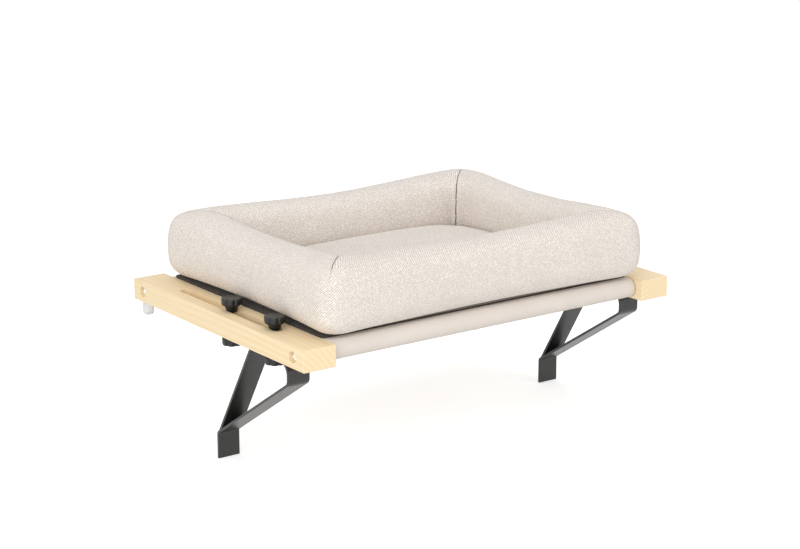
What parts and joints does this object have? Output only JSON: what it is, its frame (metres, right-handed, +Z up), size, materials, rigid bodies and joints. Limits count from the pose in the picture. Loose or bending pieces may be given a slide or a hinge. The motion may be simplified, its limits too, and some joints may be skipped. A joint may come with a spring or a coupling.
{
  "type": "cat window perch",
  "caption": "Cat perch for a window sill: two slotted wooden rails, a cloth sling with a bolster bed, and two adjustable brackets that press on the wall.",
  "frame": {"origin": "midway between the rails, where the window sill's top surface meets the plane of the wall below it", "axes": "+X to the right along the sill, +Y towards the window, +Z up"},
  "size_m": [0.525, 0.368, 0.2631],
  "materials": {
    "pine": "clear satin lacquer",
    "clear_peg": "clear, smooth",
    "bar_steel": "grey coat",
    "bright_screw": "bright zinc plate",
    "sling_cloth": "smooth plain weave",
    "grip_panel": "short black felt",
    "bed_twill": "chunky soft weave",
    "base_cloth": "dotted non-slip",
    "black_coat": "satin powder coat",
    "knob_plastic": "satin moulded",
    "zinc_steel": "zinc plate",
    "bush_brass": "turned"
  },
  "bodies": {
    "frame": {"left_rail": "pine", "right_rail": "pine", "left_foot": "clear_peg", "right_foot": "clear_peg", "front_bar": "bar_steel", "rear_bar": "bar_steel", "bar_plugs": "bar_steel", "frame_screws": "bright_screw", "sling_cover": "sling_cloth", "grip_panel": "grip_panel"},
    "bed": {"front_bolster": "bed_twill", "rear_bolster": "bed_twill", "left_bolster": "bed_twill", "right_bolster": "bed_twill", "bed_base": "base_cloth", "bed_pad": "bed_twill"},
    "left_bracket": {"left_strap": "black_coat", "left_strut": "black_coat"},
    "left_front_bolt": {"upper_knob_left_front": "knob_plastic", "stud_left_front": "zinc_steel"},
    "left_front_washer": {"washer_left_front": "zinc_steel"},
    "left_front_nut": {"lower_knob_left_front": "knob_plastic", "bush_left_front": "bush_brass"},
    "left_rear_bolt": {"upper_knob_left_rear": "knob_plastic", "stud_left_rear": "zinc_steel"},
    "left_rear_washer": {"washer_left_rear": "zinc_steel"},
    "left_rear_nut": {"lower_knob_left_rear": "knob_plastic", "bush_left_rear": "bush_brass"},
    "right_bracket": {"right_strap": "black_coat", "right_strut": "black_coat"},
    "right_front_bolt": {"upper_knob_right_front": "knob_plastic", "stud_right_front": "zinc_steel"},
    "right_front_washer": {"washer_right_front": "zinc_steel"},
    "right_front_nut": {"lower_knob_right_front": "knob_plastic", "bush_right_front": "bush_brass"},
    "right_rear_bolt": {"upper_knob_right_rear": "knob_plastic", "stud_right_rear": "zinc_steel"},
    "right_rear_washer": {"washer_right_rear": "zinc_steel"},
    "right_rear_nut": {"lower_knob_right_rear": "knob_plastic", "bush_right_rear": "bush_brass"}
  },
  "joints": [
    {"name": "bed_lift", "type": "slide", "parent": "frame", "child": "bed", "axis": [0, 0, 1], "range_m": [0, 0.15]},
    {"name": "left_bracket_slide", "type": "slide", "parent": "frame", "child": "left_bracket", "axis": [0, 1, 0], "range_m": [-0.005, 0.102]},
    {"name": "left_front_knob_turn", "type": "hinge", "parent": "left_bracket", "child": "left_front_bolt", "pos_m": [-0.2405, -0.1055, 0.044], "axis": [0, 0, 1], "continuous": true},
    {"name": "left_front_nut_drop", "type": "slide", "parent": "left_bracket", "child": "left_front_washer", "axis": [0, 0, -1], "range_m": [0, 0.004]},
    {"name": "left_front_nut_turn", "type": "hinge", "parent": "left_front_washer", "child": "left_front_nut", "pos_m": [-0.2405, -0.1055, 0.01], "axis": [0, 0, -1], "range_deg": [0, 1440]},
    {"name": "left_rear_knob_turn", "type": "hinge", "parent": "left_bracket", "child": "left_rear_bolt", "pos_m": [-0.2405, -0.0155, 0.044], "axis": [0, 0, 1], "continuous": true},
    {"name": "left_rear_nut_drop", "type": "slide", "parent": "left_bracket", "child": "left_rear_washer", "axis": [0, 0, -1], "range_m": [0, 0.004]},
    {"name": "left_rear_nut_turn", "type": "hinge", "parent": "left_rear_washer", "child": "left_rear_nut", "pos_m": [-0.2405, -0.0155, 0.01], "axis": [0, 0, -1], "range_deg": [0, 1440]},
    {"name": "right_bracket_slide", "type": "slide", "parent": "frame", "child": "right_bracket", "axis": [0, 1, 0], "range_m": [-0.005, 0.102]},
    {"name": "right_front_knob_turn", "type": "hinge", "parent": "right_bracket", "child": "right_front_bolt", "pos_m": [0.2405, -0.1055, 0.044], "axis": [0, 0, 1], "continuous": true},
    {"name": "right_front_nut_drop", "type": "slide", "parent": "right_bracket", "child": "right_front_washer", "axis": [0, 0, -1], "range_m": [0, 0.004]},
    {"name": "right_front_nut_turn", "type": "hinge", "parent": "right_front_washer", "child": "right_front_nut", "pos_m": [0.2405, -0.1055, 0.01], "axis": [0, 0, -1], "range_deg": [0, 1440]},
    {"name": "right_rear_knob_turn", "type": "hinge", "parent": "right_bracket", "child": "right_rear_bolt", "pos_m": [0.2405, -0.0155, 0.044], "axis": [0, 0, 1], "continuous": true},
    {"name": "right_rear_nut_drop", "type": "slide", "parent": "right_bracket", "child": "right_rear_washer", "axis": [0, 0, -1], "range_m": [0, 0.004]},
    {"name": "right_rear_nut_turn", "type": "hinge", "parent": "right_rear_washer", "child": "right_rear_nut", "pos_m": [0.2405, -0.0155, 0.01], "axis": [0, 0, -1], "range_deg": [0, 1440]}
  ],
  "couplings": [
    {"joint": "left_front_nut_drop", "follows": "left_front_nut_turn", "m_per_rad": 0.00015915},
    {"joint": "left_rear_nut_drop", "follows": "left_rear_nut_turn", "m_per_rad": 0.00015915},
    {"joint": "right_front_nut_drop", "follows": "right_front_nut_turn", "m_per_rad": 0.00015915},
    {"joint": "right_rear_nut_drop", "follows": "right_rear_nut_turn", "m_per_rad": 0.00015915}
  ]
}
